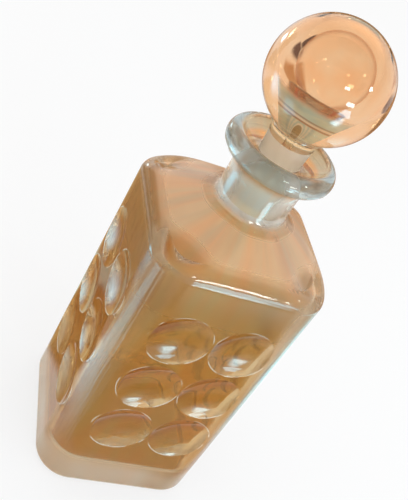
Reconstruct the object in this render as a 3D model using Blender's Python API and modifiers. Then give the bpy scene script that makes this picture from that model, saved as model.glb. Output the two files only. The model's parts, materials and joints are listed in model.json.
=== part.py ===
"""Square glass spirit decanter with round lens cuts on its sides and a hollow ball stopper.

Metres, +Z up.  The origin is the middle of the base, on the surface the bottle stands on.
The bottle's sides face along X and Y, and the stopper's axis is the Z axis.
"""

import math

import bpy
from mathutils import Euler

# Bottle, outside
BODY_SIDE = 0.088
BODY_TAPER = 0.0018
BODY_CORNER_RADIUS = 0.018
SIDE_HEIGHT = 0.148
BASE_EDGE_RADIUS = 0.0035
SHOULDER_EDGE_RADIUS = 0.0115
SHOULDER_EDGE_SWEEP = math.radians(55)
SHOULDER_HEIGHT = 0.0197
SHOULDER_BULGE = 0.0013
CORNER_DROOP = 0.0044
SHOULDER_EDGE_ROUND_SHARE = 0.34
NECK_FOOT_DIAMETER = 0.0404
NECK_FOOT_FILLET = 0.0027
NECK_DIAMETER = 0.035
NECK_LENGTH = 0.0137
LIP_DIAMETER = 0.0535
LIP_HEIGHT = 0.0203
LIP_BEAD_HEIGHT = 0.011
LIP_BEAD_WIDTH = 0.009

# Bottle, inside
WALL = 0.0055
BASE_THICKNESS = 0.0125
FLOOR_EDGE_RADIUS = 0.007
DISH_DIAMETER = 0.040
DISH_EDGE_DROP = 0.0012
DISH_DEPTH = 0.0062
BORE_LENGTH = 0.0265

# Lens cuts, on each of the four sides
LENS_DIAMETER = 0.0306
LENS_DEPTH = 0.0035
LENS_ROWS = 3
LENS_COLUMNS = 2
LENS_ROW_PITCH = 0.0333
LENS_COLUMN_PITCH = 0.0312
LENS_FIRST_ROW_HEIGHT = 0.0487

# Stopper
BALL_DIAMETER = 0.055
BALL_JOIN_DIAMETER = 0.028
COLLAR_LENGTH = 0.0068
COLLAR_WAIST_DIAMETER = 0.0225
PLUG_TOP_DIAMETER = 0.0216
PLUG_LENGTH = 0.0335
PLUG_ENGAGED_LENGTH = 0.0235
PLUG_TAPER_SHARE = 0.1
PLUG_EDGE_BEVEL = 0.0006
PLUG_CLEARANCE = 0.0003
BUBBLE_DIAMETER = 0.0336
BUBBLE_RAISE = 0.0025
CHANNEL_DIAMETER = 0.003
CHANNEL_FLARE_LENGTH = 0.025
CHANNEL_FLARE_POWER = 3.3

# How finely round shapes are divided
SIDES = 4
CORNER_STEPS = 8
FLAT_STEPS = 2
EDGE_STEPS = 4
SHOULDER_STEPS = 6
LENS_STEPS = 20
LENS_RINGS = 3
STOPPER_STEPS = 32
BALL_RINGS = 15
BUBBLE_RINGS = 10
SMOOTH_ANGLE = math.radians(32)
CUTTER_OVERRUN = 0.003
MERGE_DISTANCE = 0.00001

# Where the points of the outlines lie, as shares of the sizes above
FLARE_STEP_SHARES = (0, 0.3, 0.55, 0.75, 0.9)
FLARE_REACH_SHARE = 0.95
FLARE_UNDER_BEAD_SHARE = 0.35
BEAD_UNDER_SHARE = -0.25
BEAD_STEP_SHARES = (0, 0.33, 0.66, 1)
DISH_STEP_SHARES = (0.25, 0.5, 0.75)
DISH_HOLLOW_POWER = 1.5
NECK_FILLET_STEP_SHARES = (0.33, 0.67, 1)
COLLAR_TOP_SHARE = 0.6
COLLAR_FOOT_SHARE = 0.15
CHANNEL_FLARE_SHARES = (0, 0.4, 0.62, 0.8, 0.92)
CORNER_SHARPNESS_POWER = 4

# Worked out from the sizes above
NECK_FOOT_Z = SIDE_HEIGHT + SHOULDER_HEIGHT
FLARE_START_Z = NECK_FOOT_Z + NECK_LENGTH
LIP_TOP_Z = FLARE_START_Z + LIP_HEIGHT
BORE_TOP_Z = LIP_TOP_Z - DISH_DEPTH
BORE_BOTTOM_Z = BORE_TOP_Z - BORE_LENGTH
PLUG_BOTTOM_Z = BORE_TOP_Z - PLUG_ENGAGED_LENGTH
PLUG_TOP_Z = PLUG_BOTTOM_Z + PLUG_LENGTH
BALL_JOIN_Z = PLUG_TOP_Z + COLLAR_LENGTH
BALL_CENTRE_Z = BALL_JOIN_Z + math.sqrt(BALL_DIAMETER ** 2 - BALL_JOIN_DIAMETER ** 2) / 2


def new_collection(name):
    """A collection in the scene."""
    made = bpy.data.collections.new(name)
    bpy.context.scene.collection.children.link(made)
    return made


def glass(name, colour, roughness):
    """Clear or ground glass."""
    material = bpy.data.materials.new(name)
    material.use_nodes = True
    shader = material.node_tree.nodes["Principled BSDF"]
    shader.inputs["Base Color"].default_value = (*colour, 1)
    shader.inputs["Roughness"].default_value = roughness
    shader.inputs["Metallic"].default_value = 0
    shader.inputs["IOR"].default_value = 1.52
    shader.inputs["Transmission Weight"].default_value = 1
    return material


def add_object(name, vertices, edges, faces, collection):
    """A mesh object in a collection."""
    mesh = bpy.data.meshes.new(name)
    mesh.from_pydata(vertices, edges, faces)
    made = bpy.data.objects.new(name, mesh)
    collection.objects.link(made)
    return made


def add_turned(name, profile, steps, collection):
    """Turns a profile of (radius, height) points round Z.  It runs down the outer side."""
    vertices = [(radius, 0, height) for radius, height in profile]
    edges = [(i, i + 1) for i in range(len(profile) - 1)]
    turned = add_object(name, vertices, edges, [], collection)
    screw = turned.modifiers.new("turn", "SCREW")
    screw.steps = steps
    screw.render_steps = steps
    screw.use_merge_vertices = True
    screw.merge_threshold = MERGE_DISTANCE
    screw.use_smooth_shade = True
    return turned


def arc(centre_r, centre_z, radius, start, end, steps):
    """Points along an arc in the profile plane, from one angle to another, both included."""
    points = []
    for i in range(steps + 1):
        angle = start + (end - start) * i / steps
        points.append((centre_r + radius * math.cos(angle), centre_z + radius * math.sin(angle)))
    return points


def half_side(z):
    """Half the distance across the bottle's flat sides at a height."""
    return (BODY_SIDE - BODY_TAPER * (1 - z / SIDE_HEIGHT)) / 2


def rounded_square(half, corner):
    """Points round a square with round corners: each corner's arc, then the flat side after it."""
    points = []
    middle = half - corner
    for side in range(SIDES):
        turn = side * math.pi / 2
        cos_turn = round(math.cos(turn))
        sin_turn = round(math.sin(turn))
        quarter = []
        for step in range(CORNER_STEPS + 1):
            angle = math.pi / 2 * step / CORNER_STEPS
            quarter.append((middle + corner * math.cos(angle), middle + corner * math.sin(angle)))
        for step in range(1, FLAT_STEPS):
            quarter.append((middle - 2 * middle * step / FLAT_STEPS, half))
        points += [(x * cos_turn - y * sin_turn, x * sin_turn + y * cos_turn) for x, y in quarter]
    return points


def section(half, corner, round_share, z, droop):
    """One closed section of the body, from a rounded square (share 0) to a circle (share 1).

    The corners lie lower than the middles of the sides by droop.
    """
    square = rounded_square(half, corner)
    points = []
    for i, (x, y) in enumerate(square):
        angle = 2 * math.pi * (i + FLAT_STEPS / 2) / len(square)
        corner_share = math.sin(2 * angle) ** CORNER_SHARPNESS_POWER
        points.append((
            x + (half * math.cos(angle) - x) * round_share,
            y + (half * math.sin(angle) - y) * round_share,
            z - droop * corner_share,
        ))
    return points


def shoulder_sections(inset, corner):
    """Sections over the shoulder, from the top of the straight sides to the foot of the neck.

    inset is 0 for the outside and the wall's thickness for the inside.
    """
    sections = []
    radius = SHOULDER_EDGE_RADIUS - inset
    edge_half = BODY_SIDE / 2 - SHOULDER_EDGE_RADIUS
    for step in range(EDGE_STEPS + 1):
        share = step / EDGE_STEPS
        angle = SHOULDER_EDGE_SWEEP * share
        sections.append(section(
            edge_half + radius * math.cos(angle),
            corner,
            SHOULDER_EDGE_ROUND_SHARE * share ** 2,
            SIDE_HEIGHT + radius * math.sin(angle),
            CORNER_DROOP * share ** 2,
        ))
    return sections


def slope_curve(start, end, steps):
    """Points on the slightly domed slope from the shoulder's edge to the neck, without its start."""
    middle = ((start[0] + end[0]) / 2, (start[1] + end[1]) / 2 + SHOULDER_BULGE)
    points = []
    for step in range(1, steps + 1):
        t = step / steps
        r = (1 - t) ** 2 * start[0] + 2 * t * (1 - t) * middle[0] + t ** 2 * end[0]
        z = (1 - t) ** 2 * start[1] + 2 * t * (1 - t) * middle[1] + t ** 2 * end[1]
        points.append((t, r, z))
    return points


def slope_sections(inset, corner, end):
    """Sections from the shoulder's edge up to a round ring: end is its radius and height."""
    radius = SHOULDER_EDGE_RADIUS - inset
    start = (
        BODY_SIDE / 2 - SHOULDER_EDGE_RADIUS + radius * math.cos(SHOULDER_EDGE_SWEEP),
        SIDE_HEIGHT + radius * math.sin(SHOULDER_EDGE_SWEEP),
    )
    sections = []
    for t, r, z in slope_curve(start, end, SHOULDER_STEPS):
        share = SHOULDER_EDGE_ROUND_SHARE + (1 - SHOULDER_EDGE_ROUND_SHARE) * t
        sections.append(section(r, corner * r / start[0], share, z, CORNER_DROOP * (1 - t)))
    return sections


def round_sections(profile):
    """Round sections of the neck and lip at (radius, height) points."""
    return [section(r, r, 1, z, 0) for r, z in profile]


def lip_profile():
    """(radius, height) points from the foot of the neck, over the lip and down to the dish."""
    neck_r = NECK_DIAMETER / 2
    lip_r = LIP_DIAMETER / 2
    bead_half_height = LIP_BEAD_HEIGHT / 2
    bead_half_width = LIP_BEAD_WIDTH / 2
    bead_z = LIP_TOP_Z - bead_half_height
    profile = []
    # the hollow fillet at the foot of the neck
    for share in NECK_FILLET_STEP_SHARES:
        angle = math.pi / 2 * share
        profile.append((
            neck_r + (NECK_FOOT_DIAMETER / 2 - neck_r) * (1 - math.sin(angle)),
            NECK_FOOT_Z + NECK_FOOT_FILLET * (1 - math.cos(angle)),
        ))
    # the trumpet-like underside, from the neck out to the bead
    flare_end_z = bead_z - LIP_BEAD_HEIGHT * FLARE_UNDER_BEAD_SHARE
    for share in FLARE_STEP_SHARES:
        angle = math.pi / 2 * share
        profile.append((
            neck_r + (lip_r - neck_r) * FLARE_REACH_SHARE * (1 - math.cos(angle)),
            FLARE_START_Z + (flare_end_z - FLARE_START_Z) * math.sin(angle),
        ))
    # the round bead, up to its crest, and the dish's edge
    for share in BEAD_STEP_SHARES:
        angle = math.pi / 2 * (BEAD_UNDER_SHARE + (1 - BEAD_UNDER_SHARE) * share)
        profile.append((
            lip_r - bead_half_width * (1 - math.cos(angle)),
            bead_z + bead_half_height * math.sin(angle),
        ))
    profile.append((DISH_DIAMETER / 2, LIP_TOP_Z - DISH_EDGE_DROP))
    return profile


def bore_radius(z):
    """The ground bore's radius at a height.  It follows the plug's taper with the clearance."""
    return plug_radius(z) + PLUG_CLEARANCE


def plug_radius(z):
    """The plug's radius at a height while the stopper is seated."""
    return PLUG_TOP_DIAMETER / 2 - (PLUG_TOP_Z - z) * PLUG_TAPER_SHARE / 2


def dish_profile():
    """(radius, height) points from the dish's edge down to the ground bore and its lower end."""
    edge_r = DISH_DIAMETER / 2
    edge_z = LIP_TOP_Z - DISH_EDGE_DROP
    bore_r = bore_radius(BORE_TOP_Z)
    profile = []
    for share in reversed(DISH_STEP_SHARES):
        profile.append((
            bore_r + (edge_r - bore_r) * share,
            BORE_TOP_Z + (edge_z - BORE_TOP_Z) * share ** DISH_HOLLOW_POWER,
        ))
    profile.append((bore_r, BORE_TOP_Z))
    profile.append((bore_radius(BORE_BOTTOM_Z), BORE_BOTTOM_Z))
    return profile


def skin(sections):
    """Vertices and faces of a closed skin over sections that run up the outside and down the inside."""
    count = len(sections[0])
    vertices = [point for ring in sections for point in ring]
    faces = [tuple(reversed(range(count)))]
    for ring in range(len(sections) - 1):
        low = ring * count
        high = low + count
        for i in range(count):
            after = (i + 1) % count
            faces.append((low + i, low + after, high + after, high + i))
    last = (len(sections) - 1) * count
    faces.append(tuple(last + i for i in range(count)))
    return vertices, faces


def bottle_sections():
    """All sections of the bottle, up its outside, over the lip and down its inside."""
    outer_corner = BODY_CORNER_RADIUS
    inner_corner = BODY_CORNER_RADIUS - WALL
    sections = []
    for step in range(EDGE_STEPS):
        angle = math.pi / 2 * (1 - step / (EDGE_STEPS - 1))
        inset = BASE_EDGE_RADIUS * (1 - math.cos(angle))
        z = BASE_EDGE_RADIUS * (1 - math.sin(angle))
        sections.append(section(half_side(z) - inset, outer_corner - inset, 0, z, 0))
    sections += shoulder_sections(0, outer_corner)
    sections += slope_sections(0, outer_corner, (NECK_FOOT_DIAMETER / 2, NECK_FOOT_Z))
    sections += round_sections(lip_profile())
    sections += round_sections(dish_profile())
    inner_top = (bore_radius(BORE_BOTTOM_Z) + WALL / 2, BORE_BOTTOM_Z - WALL / 2)
    inner_slope = slope_sections(WALL, inner_corner, inner_top)
    sections += reversed(inner_slope)
    sections += reversed(shoulder_sections(WALL, inner_corner))
    for step in range(EDGE_STEPS):
        angle = math.pi / 2 * step / (EDGE_STEPS - 1)
        inset = FLOOR_EDGE_RADIUS * (1 - math.cos(angle))
        z = BASE_THICKNESS + FLOOR_EDGE_RADIUS * (1 - math.sin(angle))
        sections.append(section(half_side(z) - WALL - inset, inner_corner - inset, 0, z, 0))
    return sections


def lens_profile():
    """(radius, height) points of a lens cutter: a drum whose inner end is part of a sphere."""
    rim = LENS_DIAMETER / 2
    sphere = (rim ** 2 + LENS_DEPTH ** 2) / (2 * LENS_DEPTH)
    centre = sphere - LENS_DEPTH
    profile = [(0, CUTTER_OVERRUN), (rim, CUTTER_OVERRUN)]
    sweep = math.asin(rim / sphere)
    for ring in range(LENS_RINGS + 1):
        angle = sweep * (1 - ring / LENS_RINGS)
        profile.append((sphere * math.sin(angle), centre - sphere * math.cos(angle)))
    profile[-1] = (0, -LENS_DEPTH)
    return profile


def add_lens_cutters(collection):
    """The cutters of all lens cuts, set square to the sides, which lean in a little at the base."""
    lean = math.atan(BODY_TAPER / 2 / SIDE_HEIGHT)
    for side in range(SIDES):
        turn = side * math.pi / 2
        for row in range(LENS_ROWS):
            z = LENS_FIRST_ROW_HEIGHT + row * LENS_ROW_PITCH
            for column in range(LENS_COLUMNS):
                name = "lens_cutter_%d_%d_%d" % (side, row, column)
                cutter = add_turned(name, lens_profile(), LENS_STEPS, collection)
                offset = (column - (LENS_COLUMNS - 1) / 2) * LENS_COLUMN_PITCH
                x = offset * math.cos(turn) + half_side(z) * math.sin(turn)
                y = offset * math.sin(turn) - half_side(z) * math.cos(turn)
                cutter.location = (x, y, z)
                cutter.rotation_euler = Euler((math.pi / 2 + lean, 0, turn), "XYZ")
                cutter.hide_render = True
                cutter.display_type = "WIRE"


def add_bottle(parts, cutters, material):
    """The bottle: one glass body with its cavity open at the mouth."""
    vertices, faces = skin(bottle_sections())
    bottle = add_object("decanter_bottle", vertices, [], faces, parts)
    add_lens_cutters(cutters)
    cuts = bottle.modifiers.new("lens_cuts", "BOOLEAN")
    cuts.operation = "DIFFERENCE"
    cuts.solver = "EXACT"
    cuts.operand_type = "COLLECTION"
    cuts.collection = cutters
    bottle.data.shade_smooth()
    bottle.data.set_sharp_from_angle(angle=SMOOTH_ANGLE)
    bottle.data.materials.append(material)
    return bottle


def stopper_profile():
    """(radius, height) points from the top of the ball down the outside, then up the bubble."""
    ball_r = BALL_DIAMETER / 2
    join_r = BALL_JOIN_DIAMETER / 2
    join_angle = -math.acos(join_r / ball_r)
    profile = arc(0, BALL_CENTRE_Z, ball_r, math.pi / 2, join_angle, BALL_RINGS)
    profile[0] = (0, BALL_CENTRE_Z + ball_r)
    waist_r = COLLAR_WAIST_DIAMETER / 2
    plug_r = PLUG_TOP_DIAMETER / 2
    profile.append((waist_r, PLUG_TOP_Z + COLLAR_LENGTH * COLLAR_TOP_SHARE))
    profile.append((waist_r, PLUG_TOP_Z + COLLAR_LENGTH * COLLAR_FOOT_SHARE))
    profile.append((plug_r, PLUG_TOP_Z))
    profile.append((plug_radius(PLUG_BOTTOM_Z + PLUG_EDGE_BEVEL), PLUG_BOTTOM_Z + PLUG_EDGE_BEVEL))
    profile.append((plug_radius(PLUG_BOTTOM_Z) - PLUG_EDGE_BEVEL, PLUG_BOTTOM_Z))
    channel_r = CHANNEL_DIAMETER / 2
    bubble_r = BUBBLE_DIAMETER / 2
    bubble_z = BALL_CENTRE_Z + BUBBLE_RAISE
    profile.append((channel_r, PLUG_BOTTOM_Z))
    bubble_start = -math.pi / 4
    flare_end = (bubble_r * math.cos(bubble_start), bubble_z + bubble_r * math.sin(bubble_start))
    flare_start_z = flare_end[1] - CHANNEL_FLARE_LENGTH
    for share in CHANNEL_FLARE_SHARES:
        profile.append((
            channel_r + (flare_end[0] - channel_r) * share ** CHANNEL_FLARE_POWER,
            flare_start_z + CHANNEL_FLARE_LENGTH * share,
        ))
    profile += arc(0, bubble_z, bubble_r, bubble_start, math.pi / 2, BUBBLE_RINGS)
    profile[-1] = (0, bubble_z + bubble_r)
    return profile


def add_stopper(parts, material):
    """The stopper: a hollow ball on a short collar and a ground tapered plug, blown as one piece."""
    stopper = add_turned("ball_stopper", stopper_profile(), STOPPER_STEPS, parts)
    stopper.data.materials.append(material)
    return stopper


def build():
    """Clears the scene and builds the decanter."""
    for old in list(bpy.data.objects):
        bpy.data.objects.remove(old)
    parts = new_collection("whiskey_decanter")
    cutters = new_collection("cutters")
    bottle_glass = glass("bottle_glass", (0.86, 0.74, 0.58), 0.02)
    stopper_glass = glass("stopper_glass", (0.96, 0.84, 0.70), 0.02)
    add_bottle(parts, cutters, bottle_glass)
    add_stopper(parts, stopper_glass)


build()
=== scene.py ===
# %% [markdown]
# # A square cut-glass spirit decanter
# The object is a square bottle of heavy clear glass with a hollow ball stopper.
# This lesson dresses its engineering model: the two glass pieces are remodelled finely,
# given real glass, and photographed on a pale floor.
# The frame comes first. It holds the plain solids at their real size, in metres.

# %% Load the frame
import math

import bmesh
import bpy
from mathutils import Euler, Matrix, Vector
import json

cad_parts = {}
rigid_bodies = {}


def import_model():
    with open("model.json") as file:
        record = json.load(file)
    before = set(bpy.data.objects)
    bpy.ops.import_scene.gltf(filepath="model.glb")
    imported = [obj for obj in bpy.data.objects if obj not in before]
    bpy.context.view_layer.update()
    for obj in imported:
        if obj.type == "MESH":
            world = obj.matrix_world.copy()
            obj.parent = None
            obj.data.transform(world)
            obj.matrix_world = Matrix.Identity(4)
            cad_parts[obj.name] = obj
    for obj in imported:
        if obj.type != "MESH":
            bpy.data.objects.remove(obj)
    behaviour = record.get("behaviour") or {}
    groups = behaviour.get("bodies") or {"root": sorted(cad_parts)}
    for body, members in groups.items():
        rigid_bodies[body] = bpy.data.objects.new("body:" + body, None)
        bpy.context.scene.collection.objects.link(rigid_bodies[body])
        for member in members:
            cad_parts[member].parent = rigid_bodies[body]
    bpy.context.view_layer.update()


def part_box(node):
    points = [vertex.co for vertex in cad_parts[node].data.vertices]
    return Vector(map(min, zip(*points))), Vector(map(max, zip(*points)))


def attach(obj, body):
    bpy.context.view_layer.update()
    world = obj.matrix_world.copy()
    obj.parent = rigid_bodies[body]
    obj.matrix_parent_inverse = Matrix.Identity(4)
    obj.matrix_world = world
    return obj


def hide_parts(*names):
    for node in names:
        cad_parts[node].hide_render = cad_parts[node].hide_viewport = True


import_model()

# %% [markdown]
# ## Sizes
# What the frame can tell is read from it: the bottle's box gives the width of the body and
# the top of the lip, and the stopper's box gives the ball and the plug's lower end.
# The rest are the bottle's own drawing sizes, each written once.

# %% Sizes of the bottle and the stopper
bottle_low, bottle_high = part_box("decanter_bottle")
stopper_low, stopper_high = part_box("ball_stopper")

BODY_SIDE = bottle_high.x - bottle_low.x
LIP_TOP_Z = bottle_high.z
BALL_RADIUS = (stopper_high.x - stopper_low.x) / 2
BALL_CENTRE_Z = stopper_high.z - BALL_RADIUS
PLUG_BOTTOM_Z = stopper_low.z

BODY_TAPER = 0.0018
BODY_CORNER_RADIUS = 0.018
BASE_EDGE_RADIUS = 0.0035
SIDE_HEIGHT = 0.148
SHOULDER_EDGE_RADIUS = 0.0115
SHOULDER_EDGE_SWEEP = math.radians(55)
SHOULDER_BULGE = 0.0013
CORNER_DROOP = 0.0044
EDGE_ROUND_SHARE = 0.34
NECK_FOOT_Z = 0.1677
NECK_FOOT_RADIUS = 0.0202
NECK_FOOT_FILLET = 0.0027
NECK_RADIUS = 0.0175
FLARE_START_Z = 0.1814
LIP_RADIUS = 0.02675
BEAD_HALF_HEIGHT = 0.0055
BEAD_HALF_WIDTH = 0.0045
DISH_RADIUS = 0.020
DISH_EDGE_DROP = 0.0012
BORE_TOP_Z = LIP_TOP_Z - 0.0062
BORE_BOTTOM_Z = BORE_TOP_Z - 0.0265
WALL = 0.0055
BASE_THICKNESS = 0.0125
FLOOR_EDGE_RADIUS = 0.007

PLUG_TOP_Z = PLUG_BOTTOM_Z + 0.0335
PLUG_TOP_RADIUS = 0.0108
PLUG_TAPER = 0.05
PLUG_CLEARANCE = 0.0003
JOIN_RADIUS = 0.014
JOIN_Z = BALL_CENTRE_Z - math.sqrt(BALL_RADIUS ** 2 - JOIN_RADIUS ** 2)
print("body side", round(BODY_SIDE, 4), "ball radius", round(BALL_RADIUS, 4))
print("ball meets collar at", round(JOIN_Z, 4))

# %% [markdown]
# ## The camera
# The photograph looks down on one upright edge from the left, with the camera rolled so
# that the bottle leans to the right. A direction, a roll and a lens say all of it.
# The small shift puts the lens axis where it was before the photograph was trimmed.

# %% Camera
IMAGE_WIDTH, IMAGE_HEIGHT = 408, 500
CAMERA_PLACE = Vector((-0.1467, -0.2606, 0.3365))
CAMERA_AZIMUTH = math.radians(27.267)
CAMERA_DOWN = math.radians(30.783)
CAMERA_ROLL = math.radians(32.074)
FOCAL_PIXELS = 752.5
LENS_AXIS_PIXEL = (220.1, 204.4)
SENSOR = 36.0
GLASS_BOUNCES, MIRROR_BOUNCES = 32, 24

bpy.ops.object.select_all(action="DESELECT")
bpy.ops.object.camera_add(location=CAMERA_PLACE)
camera = bpy.context.object
camera.name = "photo_camera"
look = Matrix.Rotation(-CAMERA_AZIMUTH, 4, "Z") @ Matrix.Rotation(math.pi / 2 - CAMERA_DOWN, 4, "X")
camera.matrix_world = Matrix.Translation(CAMERA_PLACE) @ look @ Matrix.Rotation(CAMERA_ROLL, 4, "Z")
camera.data.sensor_width = SENSOR
camera.data.lens = FOCAL_PIXELS / max(IMAGE_WIDTH, IMAGE_HEIGHT) * SENSOR
camera.data.shift_x = (IMAGE_WIDTH / 2 - LENS_AXIS_PIXEL[0]) / IMAGE_HEIGHT
camera.data.shift_y = (LENS_AXIS_PIXEL[1] - IMAGE_HEIGHT / 2) / IMAGE_HEIGHT
camera.data.dof.use_dof = False
bpy.context.scene.camera = camera
bpy.context.scene.cycles.max_bounces = GLASS_BOUNCES
bpy.context.scene.cycles.glossy_bounces = MIRROR_BOUNCES
bpy.context.scene.cycles.transmission_bounces = GLASS_BOUNCES
print("lens", round(camera.data.lens, 2), "mm")
print("shift", round(camera.data.shift_x, 4), round(camera.data.shift_y, 4))

# %% [markdown]
# ## The studio
# Glass has no colour of its own to light: it shows what stands round it. So the floor and
# the world are white to the camera, to reflections and to what is seen through glass,
# while lamps light the floor at a plain level and leave their shapes as highlights.

# %% Helpers for node materials
def new_material(name):
    """A material with an empty node tree, and its output node."""
    material = bpy.data.materials.new(name)
    material.use_nodes = True
    tree = material.node_tree
    tree.nodes.clear()
    output = tree.nodes.new("ShaderNodeOutputMaterial")
    return material, tree, output


def node_math(tree, operation, first, second=None):
    """A Math node. Each input is a socket or a number."""
    node = tree.nodes.new("ShaderNodeMath")
    node.operation = operation
    for slot, value in enumerate((first, second)):
        if isinstance(value, (int, float)):
            node.inputs[slot].default_value = value
        elif value is not None:
            tree.links.new(value, node.inputs[slot])
    return node.outputs[0]


def times(tree, first, second):
    """The product of two values."""
    return node_math(tree, "MULTIPLY", first, second)


def seen_directly_or_through_glass(tree):
    """A socket that is 1 for camera, glossy and transmission rays and 0 for the light's own."""
    path = tree.nodes.new("ShaderNodeLightPath")
    seen = node_math(tree, "ADD", path.outputs["Is Camera Ray"], path.outputs["Is Glossy Ray"])
    seen = node_math(tree, "ADD", seen, path.outputs["Is Transmission Ray"])
    return node_math(tree, "MINIMUM", seen, 1.0)


# %% World
WORLD_LIGHT = 1.0

world = bpy.data.worlds.new("white_room")
bpy.context.scene.world = world
world.use_nodes = True
world_tree = world.node_tree
world_tree.nodes.clear()
world_output = world_tree.nodes.new("ShaderNodeOutputWorld")
lit = world_tree.nodes.new("ShaderNodeBackground")
lit.inputs["Color"].default_value = (1, 1, 1, 1)
lit.inputs["Strength"].default_value = WORLD_LIGHT
seen = world_tree.nodes.new("ShaderNodeBackground")
seen.inputs["Color"].default_value = (1, 1, 1, 1)
seen.inputs["Strength"].default_value = 1.0
world_mix = world_tree.nodes.new("ShaderNodeMixShader")
world_tree.links.new(seen_directly_or_through_glass(world_tree), world_mix.inputs["Fac"])
world_tree.links.new(lit.outputs[0], world_mix.inputs[1])
world_tree.links.new(seen.outputs[0], world_mix.inputs[2])
world_tree.links.new(world_mix.outputs[0], world_output.inputs["Surface"])
print("world", world.name)

# %% Floor
FLOOR_SIZE = 8.0
FLOOR_GAP = 0.0004
FLOOR_WHITE = 0.86
FLOOR_GLOW = 0.72

bpy.ops.object.select_all(action="DESELECT")
bpy.ops.mesh.primitive_plane_add(size=FLOOR_SIZE, location=(0, 0, -FLOOR_GAP))
floor = bpy.context.object
floor.name = "pale_floor"
floor_material, floor_tree, floor_output = new_material("pale_floor")
matt = floor_tree.nodes.new("ShaderNodeBsdfDiffuse")
matt.inputs["Color"].default_value = (FLOOR_WHITE, FLOOR_WHITE, FLOOR_WHITE, 1)
glow = floor_tree.nodes.new("ShaderNodeEmission")
glow.inputs["Strength"].default_value = 1.0
glow_share = times(floor_tree, seen_directly_or_through_glass(floor_tree), FLOOR_GLOW)
floor_mix = floor_tree.nodes.new("ShaderNodeMixShader")
floor_tree.links.new(glow_share, floor_mix.inputs["Fac"])
floor_tree.links.new(matt.outputs[0], floor_mix.inputs[1])
floor_tree.links.new(glow.outputs[0], floor_mix.inputs[2])
floor_tree.links.new(floor_mix.outputs[0], floor_output.inputs["Surface"])
floor.data.materials.append(floor_material)
print("floor", FLOOR_SIZE, "m across")

# %% Lamps
BODY_MIDDLE = Vector((0, 0, 0.12))
LAMP_DISTANCE = 1.1
DAYLIGHT = (0.74, 0.89, 1.0)
LAMPS = (
    ("window_front", 22, 5, (0.26, 0.13), 2.6),
    ("strip_high", 5, 27, (0.16, 0.08), 1.2),
    ("strip_right", 51, 30, (0.10, 0.10), 0.9),
)


def add_lamp(name, azimuth, elevation, size, power):
    """A soft lamp that faces the bottle. Azimuth 0 is in front, at -Y, and 90 on the right."""
    a, e = math.radians(azimuth), math.radians(elevation)
    away = Vector((math.sin(a) * math.cos(e), -math.cos(a) * math.cos(e), math.sin(e)))
    bpy.ops.object.select_all(action="DESELECT")
    bpy.ops.object.light_add(type="AREA", location=BODY_MIDDLE + away * LAMP_DISTANCE)
    lamp = bpy.context.object
    lamp.name = name
    lamp.rotation_euler = away.to_track_quat("Z", "Y").to_euler()
    lamp.data.shape = "RECTANGLE"
    lamp.data.size, lamp.data.size_y = size
    lamp.data.energy = power
    lamp.data.color = DAYLIGHT
    lamp.visible_camera = False


for row in LAMPS:
    add_lamp(*row)
print("lamps", len(LAMPS))

# %% [markdown]
# ## What the glass mirrors
# The photograph was taken on a brown table beside a window, and the glass shows both: cool
# glints of sky in the cuts and a warm tone of wood lower down. The floor here stays plain and
# pale, so glowing boards stand in for the room. Only the glass sees them. Three of them show
# through it as well, and the rest only as mirror images on its surface. Their soft edges are
# masks: values from 0 to 1 that say where something shows. The glass is painted with them too.

# %% Masks
def opposite(tree, mask):
    """1 where a mask is 0, and 0 where it is 1."""
    return node_math(tree, "SUBTRACT", 1.0, mask)


def above(tree, value, edge, soft):
    """1 where value is above edge and 0 below it, over a soft step. A negative soft turns it round."""
    step = tree.nodes.new("ShaderNodeMapRange")
    step.interpolation_type = "SMOOTHSTEP"
    step.inputs["From Min"].default_value = edge - soft
    step.inputs["From Max"].default_value = edge + soft
    tree.links.new(value, step.inputs["Value"])
    return step.outputs[0]


def all_of(tree, masks):
    """The product of several masks."""
    product = masks[0]
    for mask in masks[1:]:
        product = times(tree, product, mask)
    return product


# %% Boards beside the bottle
BOARD_GAP = 0.0006
FLAT, UPRIGHT = 0, math.pi / 2
SOFT_EDGE = 0.11
HALF_BOARD = 0.5


def add_board(name, azimuth, distance, height, size, tilt, colour, soft, mirrored_only):
    """A glowing board that only the glass sees, set out along an azimuth, flat or upright."""
    a = math.radians(azimuth)
    bpy.ops.object.select_all(action="DESELECT")
    bpy.ops.mesh.primitive_plane_add(
        size=1, location=(math.sin(a) * distance, -math.cos(a) * distance, height), rotation=(tilt, 0, a))
    board = bpy.context.object
    board.name = name
    board.scale = (*size, 1)
    material, tree, output = new_material(name)
    split = tree.nodes.new("ShaderNodeSeparateXYZ")
    tree.links.new(tree.nodes.new("ShaderNodeTexCoord").outputs["Object"], split.inputs[0])
    masks = [
        above(tree, node_math(tree, "ABSOLUTE", split.outputs[axis]), HALF_BOARD - soft, -soft)
        for axis in (0, 1)]
    if mirrored_only:
        path = tree.nodes.new("ShaderNodeLightPath")
        masks.append(opposite(tree, path.outputs["Is Transmission Ray"]))
    glow = tree.nodes.new("ShaderNodeEmission")
    glow.inputs["Color"].default_value = (*colour, 1)
    clear = tree.nodes.new("ShaderNodeBsdfTransparent")
    mix = tree.nodes.new("ShaderNodeMixShader")
    tree.links.new(all_of(tree, masks), mix.inputs["Fac"])
    tree.links.new(clear.outputs[0], mix.inputs[1])
    tree.links.new(glow.outputs[0], mix.inputs[2])
    tree.links.new(mix.outputs[0], output.inputs["Surface"])
    board.data.materials.append(material)
    board.visible_camera = False
    board.visible_diffuse = False
    board.visible_shadow = False


# %% [markdown]
# Each row is a name, the azimuth, how far out and how high, the size, flat or upright, the
# colour, and how soft the edge is. Flat boards that overlap lie a hair above each other, so
# that no two share a plane.

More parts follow.
